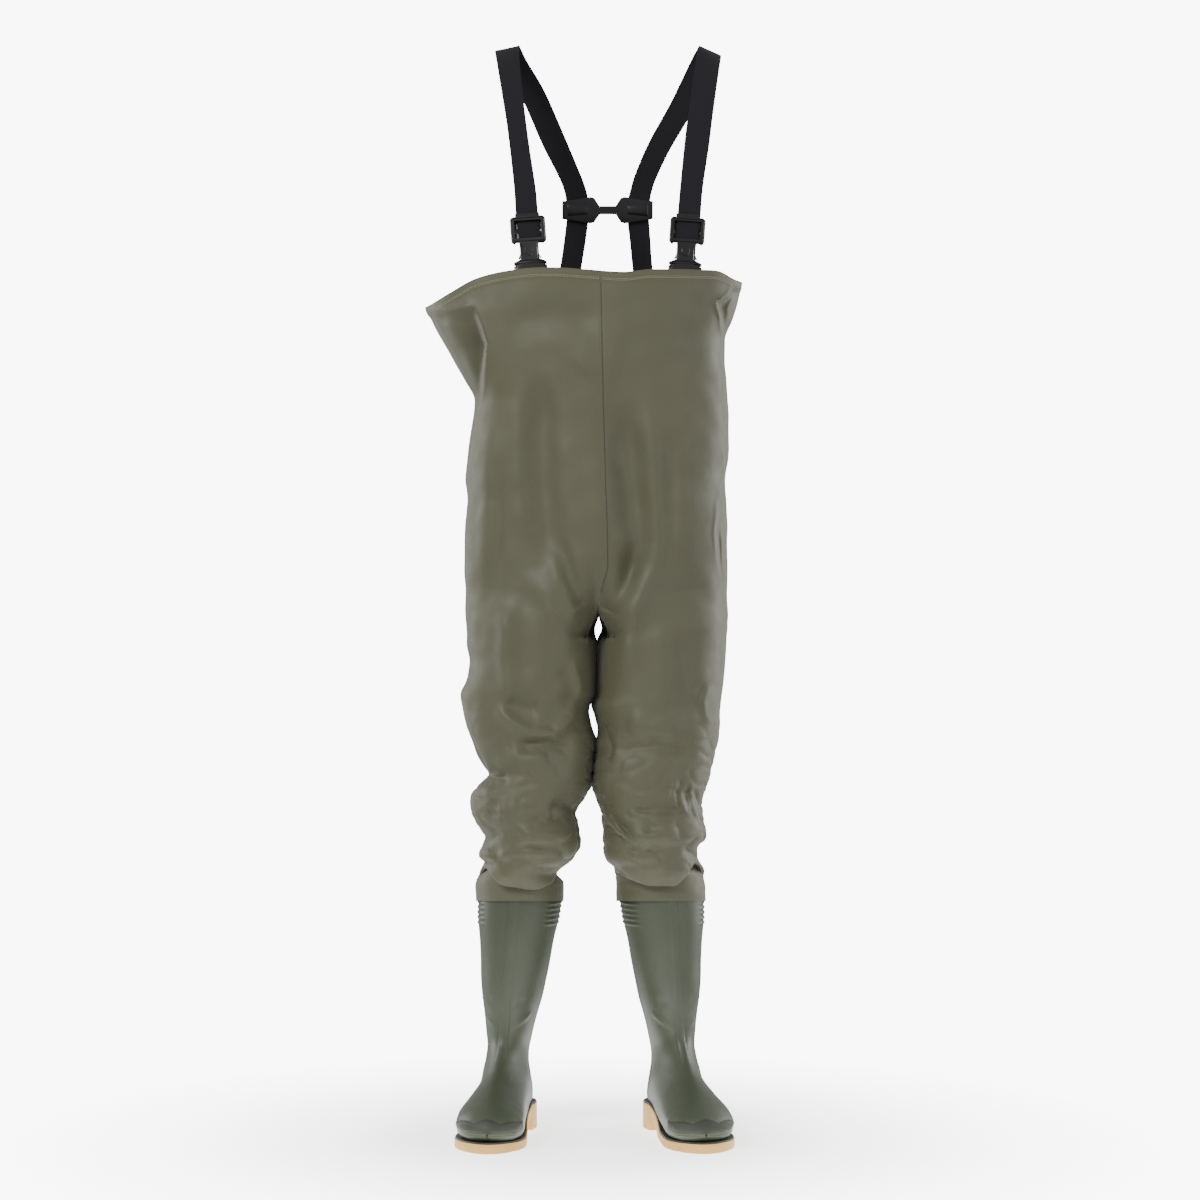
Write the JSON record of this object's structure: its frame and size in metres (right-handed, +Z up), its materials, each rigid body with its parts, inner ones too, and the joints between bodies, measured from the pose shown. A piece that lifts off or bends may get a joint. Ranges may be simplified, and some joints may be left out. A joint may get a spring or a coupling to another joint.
{
  "type": "chest waders",
  "caption": "Chest waders: coated-fabric bib and legs welded to moulded boots, with buckled elastic shoulder straps and a back link.",
  "frame": {"origin": "on the floor under the soles, at the middle of the part's width and depth", "axes": "+Z up towards the shoulder straps, -Y the way the wearer faces, +X to the wearer's left hand, which is the right of a front view"},
  "size_m": [0.4803, 0.3447, 1.69],
  "materials": {
    "suit_fabric": "satin",
    "boot_pvc": "satin",
    "sole": "matte",
    "sole_joint": "matte",
    "lining": "matte",
    "insole": "matte",
    "webbing": "matte",
    "black_plastic": "satin"
  },
  "bodies": {
    "torso": {"bib_rim_hem": "suit_fabric", "left_bib_panel": "suit_fabric", "left_hip_panel": "suit_fabric", "left_socket_tab": "webbing", "left_buckle_socket": "black_plastic", "left_strap_anchor": "webbing", "right_bib_panel": "suit_fabric", "right_hip_panel": "suit_fabric", "right_socket_tab": "webbing", "right_buckle_socket": "black_plastic", "right_strap_anchor": "webbing"},
    "suspenders": {"left_strap": "webbing", "right_strap": "webbing"},
    "back_link": {"back_link": "black_plastic"},
    "left_plug": {"left_buckle_plug": "black_plastic"},
    "left_outer_prong": {"left_prong_outer": "black_plastic"},
    "left_inner_prong": {"left_prong_inner": "black_plastic"},
    "right_plug": {"right_buckle_plug": "black_plastic"},
    "right_outer_prong": {"right_prong_outer": "black_plastic"},
    "right_inner_prong": {"right_prong_inner": "black_plastic"},
    "left_thigh": {"left_thigh_panel": "suit_fabric"},
    "left_lower_leg": {"left_knee_panel": "suit_fabric", "left_leg_cuff": "suit_fabric", "left_boot_upper": "boot_pvc", "left_boot_toe_guard": "boot_pvc", "left_boot_heel_ridges": "boot_pvc", "left_boot_lining": "lining", "left_boot_insole": "insole", "left_boot_outsole": "sole", "left_boot_rand": "sole_joint"},
    "right_thigh": {"right_thigh_panel": "suit_fabric"},
    "right_lower_leg": {"right_knee_panel": "suit_fabric", "right_leg_cuff": "suit_fabric", "right_boot_upper": "boot_pvc", "right_boot_toe_guard": "boot_pvc", "right_boot_heel_ridges": "boot_pvc", "right_boot_lining": "lining", "right_boot_insole": "insole", "right_boot_outsole": "sole", "right_boot_rand": "sole_joint"}
  },
  "joints": [
    {"name": "strap_swing", "type": "hinge", "parent": "torso", "child": "suspenders", "pos_m": [0.035, 0.17, 1.276], "axis": [-1, 0, 0], "range_deg": [0, 120]},
    {"name": "link_slide", "type": "slide", "parent": "suspenders", "child": "back_link", "axis": [0, -0.1676, 0.9859], "range_m": [-0.012, 0.012]},
    {"name": "left_buckle_slide", "type": "slide", "parent": "suspenders", "child": "left_plug", "axis": [-0.0696, 0.2244, 0.972], "range_m": [0, 0.024]},
    {"name": "left_outer_prong_squeeze", "type": "hinge", "parent": "left_plug", "child": "left_outer_prong", "pos_m": [-0.09347, -0.076, 1.33925], "axis": [-0.016, -0.9745, 0.2238], "range_deg": [0, 7], "stiffness_Nm_per_rad": 0.5},
    {"name": "left_inner_prong_squeeze", "type": "hinge", "parent": "left_plug", "child": "left_inner_prong", "pos_m": [-0.07253, -0.076, 1.34075], "axis": [0.016, 0.9745, -0.2238], "range_deg": [0, 7], "stiffness_Nm_per_rad": 0.5},
    {"name": "right_buckle_slide", "type": "slide", "parent": "suspenders", "child": "right_plug", "axis": [0.0696, 0.2244, 0.972], "range_m": [0, 0.024]},
    {"name": "right_outer_prong_squeeze", "type": "hinge", "parent": "right_plug", "child": "right_outer_prong", "pos_m": [0.16347, -0.062, 1.33925], "axis": [-0.016, 0.9745, -0.2238], "range_deg": [0, 7], "stiffness_Nm_per_rad": 0.5},
    {"name": "right_inner_prong_squeeze", "type": "hinge", "parent": "right_plug", "child": "right_inner_prong", "pos_m": [0.14253, -0.062, 1.34075], "axis": [0.016, -0.9745, 0.2238], "range_deg": [0, 7], "stiffness_Nm_per_rad": 0.5},
    {"name": "left_hip", "type": "hinge", "parent": "torso", "child": "left_thigh", "pos_m": [-0.085, 0.035, 0.88], "axis": [-1, 0, 0], "range_deg": [-15, 60], "deforming": ["left_hip_panel"]},
    {"name": "left_knee", "type": "hinge", "parent": "left_thigh", "child": "left_lower_leg", "pos_m": [-0.085, 0.038, 0.505], "axis": [1, 0, 0], "range_deg": [0, 80], "deforming": ["left_knee_panel"]},
    {"name": "right_hip", "type": "hinge", "parent": "torso", "child": "right_thigh", "pos_m": [0.118, 0.035, 0.88], "axis": [-1, 0, 0], "range_deg": [-15, 60], "deforming": ["right_hip_panel"]},
    {"name": "right_knee", "type": "hinge", "parent": "right_thigh", "child": "right_lower_leg", "pos_m": [0.104, 0.038, 0.505], "axis": [1, 0, 0], "range_deg": [0, 80], "deforming": ["right_knee_panel"]}
  ]
}
